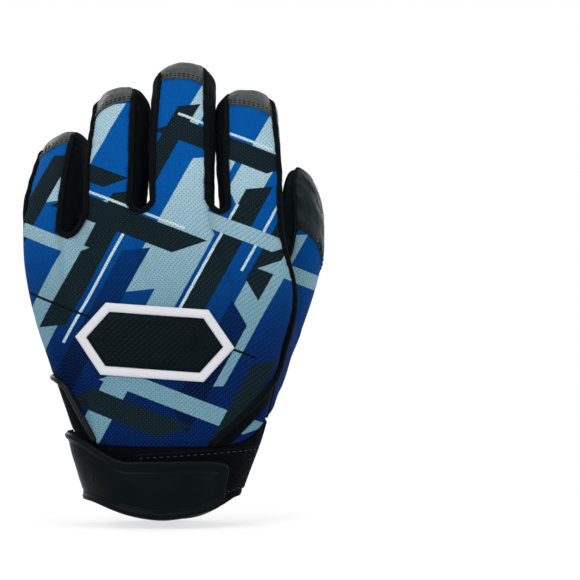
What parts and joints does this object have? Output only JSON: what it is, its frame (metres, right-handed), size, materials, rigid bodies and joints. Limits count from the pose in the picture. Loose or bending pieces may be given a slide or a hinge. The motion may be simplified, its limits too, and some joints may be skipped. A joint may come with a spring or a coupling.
{
  "type": "batting glove",
  "caption": "Left-hand batting glove with a printed stretch back, embossed leather palm, stretch finger walls, a knitted cuff and a hook-and-loop wrist strap.",
  "frame": {"origin": "middle of the wrist mouth, level with the lowest point of the cuff's edge", "axes": "+Z from the wrist to the fingertips, +X towards the thumb, -Y out of the back of the hand, +Y out of the palm"},
  "size_m": [0.1211, 0.0628, 0.1829],
  "materials": {
    "print_cloth": "matte",
    "tip_leather": "satin",
    "palm_leather": "satin",
    "stretch_cloth": "matte",
    "cuff_knit": "matte",
    "strap_rubber": "satin",
    "hook_and_loop": "matte",
    "badge_rubber": "satin",
    "badge_rim": "satin"
  },
  "bodies": {
    "hand": {"back_panel": "print_cloth", "palm_panel": "palm_leather", "vent_gusset": "stretch_cloth", "side_band": "stretch_cloth", "side_strip": "print_cloth", "web_pinky_ring": "stretch_cloth", "web_ring_middle": "stretch_cloth", "web_middle_index": "stretch_cloth", "cuff_back_band": "cuff_knit", "cuff_palm_band": "cuff_knit", "cuff_hem": "cuff_knit", "thumb_web": "stretch_cloth", "thenar_back": "print_cloth", "thenar_palm": "palm_leather", "side_seam_piping": "tip_leather", "vent_piping": "tip_leather", "badge_field": "badge_rubber", "badge_rim": "badge_rim", "loop_patch": "hook_and_loop", "strap_root": "cuff_knit"},
    "pinky": {"pinky_back": "print_cloth", "pinky_palm_leather": "palm_leather", "pinky_outer_side": "palm_leather", "pinky_piping_left": "tip_leather", "pinky_fourchette_right": "stretch_cloth", "pinky_piping_right": "tip_leather"},
    "ring": {"ring_back": "print_cloth", "ring_palm_leather": "palm_leather", "ring_fourchette_left": "stretch_cloth", "ring_piping_left": "tip_leather", "ring_fourchette_right": "stretch_cloth", "ring_piping_right": "tip_leather"},
    "middle": {"middle_back": "print_cloth", "middle_palm_leather": "palm_leather", "middle_fourchette_left": "stretch_cloth", "middle_piping_left": "tip_leather", "middle_fourchette_right": "stretch_cloth", "middle_piping_right": "tip_leather"},
    "index": {"index_back": "print_cloth", "index_palm_leather": "palm_leather", "index_fourchette_left": "stretch_cloth", "index_piping_left": "tip_leather", "index_outer_side": "palm_leather", "index_piping_right": "tip_leather"},
    "thumb": {"thumb_inner_strip": "stretch_cloth", "thumb_back": "print_cloth", "thumb_cap": "tip_leather", "thumb_palm_leather": "palm_leather"},
    "strap": {"strap_webbing": "cuff_knit", "strap_tab": "strap_rubber", "hook_patch": "hook_and_loop"}
  },
  "joints": [
    {"name": "pinky_flex", "type": "hinge", "parent": "hand", "child": "pinky", "pos_m": [-0.0448, 0.01727, 0.11255], "axis": [-0.9903, 0.1392, 0], "range_deg": [0, 70], "stiffness_Nm_per_rad": 0.05},
    {"name": "ring_flex", "type": "hinge", "parent": "hand", "child": "ring", "pos_m": [-0.01845, 0.01107, 0.12243], "axis": [-0.9945, 0.1045, 0], "range_deg": [0, 70], "stiffness_Nm_per_rad": 0.05},
    {"name": "middle_flex", "type": "hinge", "parent": "hand", "child": "middle", "pos_m": [0.00753, 0.00826, 0.12499], "axis": [-0.9986, 0.0523, 0], "range_deg": [0, 70], "stiffness_Nm_per_rad": 0.05},
    {"name": "index_flex", "type": "hinge", "parent": "hand", "child": "index", "pos_m": [0.03522, 0.01066, 0.12206], "axis": [-0.9991, 0.0419, 0], "range_deg": [0, 70], "stiffness_Nm_per_rad": 0.05},
    {"name": "thumb_spread", "type": "hinge", "parent": "hand", "child": "thumb", "pos_m": [0.05504, 0.02129, 0.07769], "axis": [0, 0.9778, -0.2095], "range_deg": [0, 30], "stiffness_Nm_per_rad": 0.06},
    {"name": "strap_open", "type": "hinge", "parent": "hand", "child": "strap", "pos_m": [-0.03595, -0.00492, 0.02252], "axis": [0.2725, 0.0206, -0.9619], "range_deg": [0, 110]}
  ]
}
